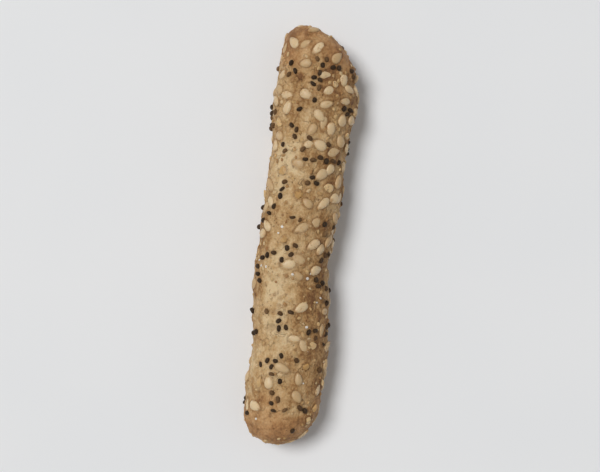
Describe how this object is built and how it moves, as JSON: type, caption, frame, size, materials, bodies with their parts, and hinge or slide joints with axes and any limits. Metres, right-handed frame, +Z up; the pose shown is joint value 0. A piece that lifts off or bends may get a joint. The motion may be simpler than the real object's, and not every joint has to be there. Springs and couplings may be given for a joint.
{
  "type": "grissini breadstick",
  "caption": "Short crisp breadstick with rounded ends and a flat baked underside, its crust stuck with sesame, poppy and onion toppings.",
  "frame": {"origin": "on the flat underside, below the middle of the stick", "axes": "+X along the stick towards its slanted end, +Z up from the underside"},
  "size_m": [0.0777, 0.0164, 0.0134],
  "materials": {
    "crust": "matte golden tan baked dough",
    "sesame": "satin cream hulled sesame seed",
    "poppy": "dull brown-black poppy seed",
    "onion": "dry toasted onion and garlic granule",
    "salt": "translucent white salt grain"
  },
  "bodies": {
    "root": {"breadstick": "crust"}
  },
  "joints": []
}
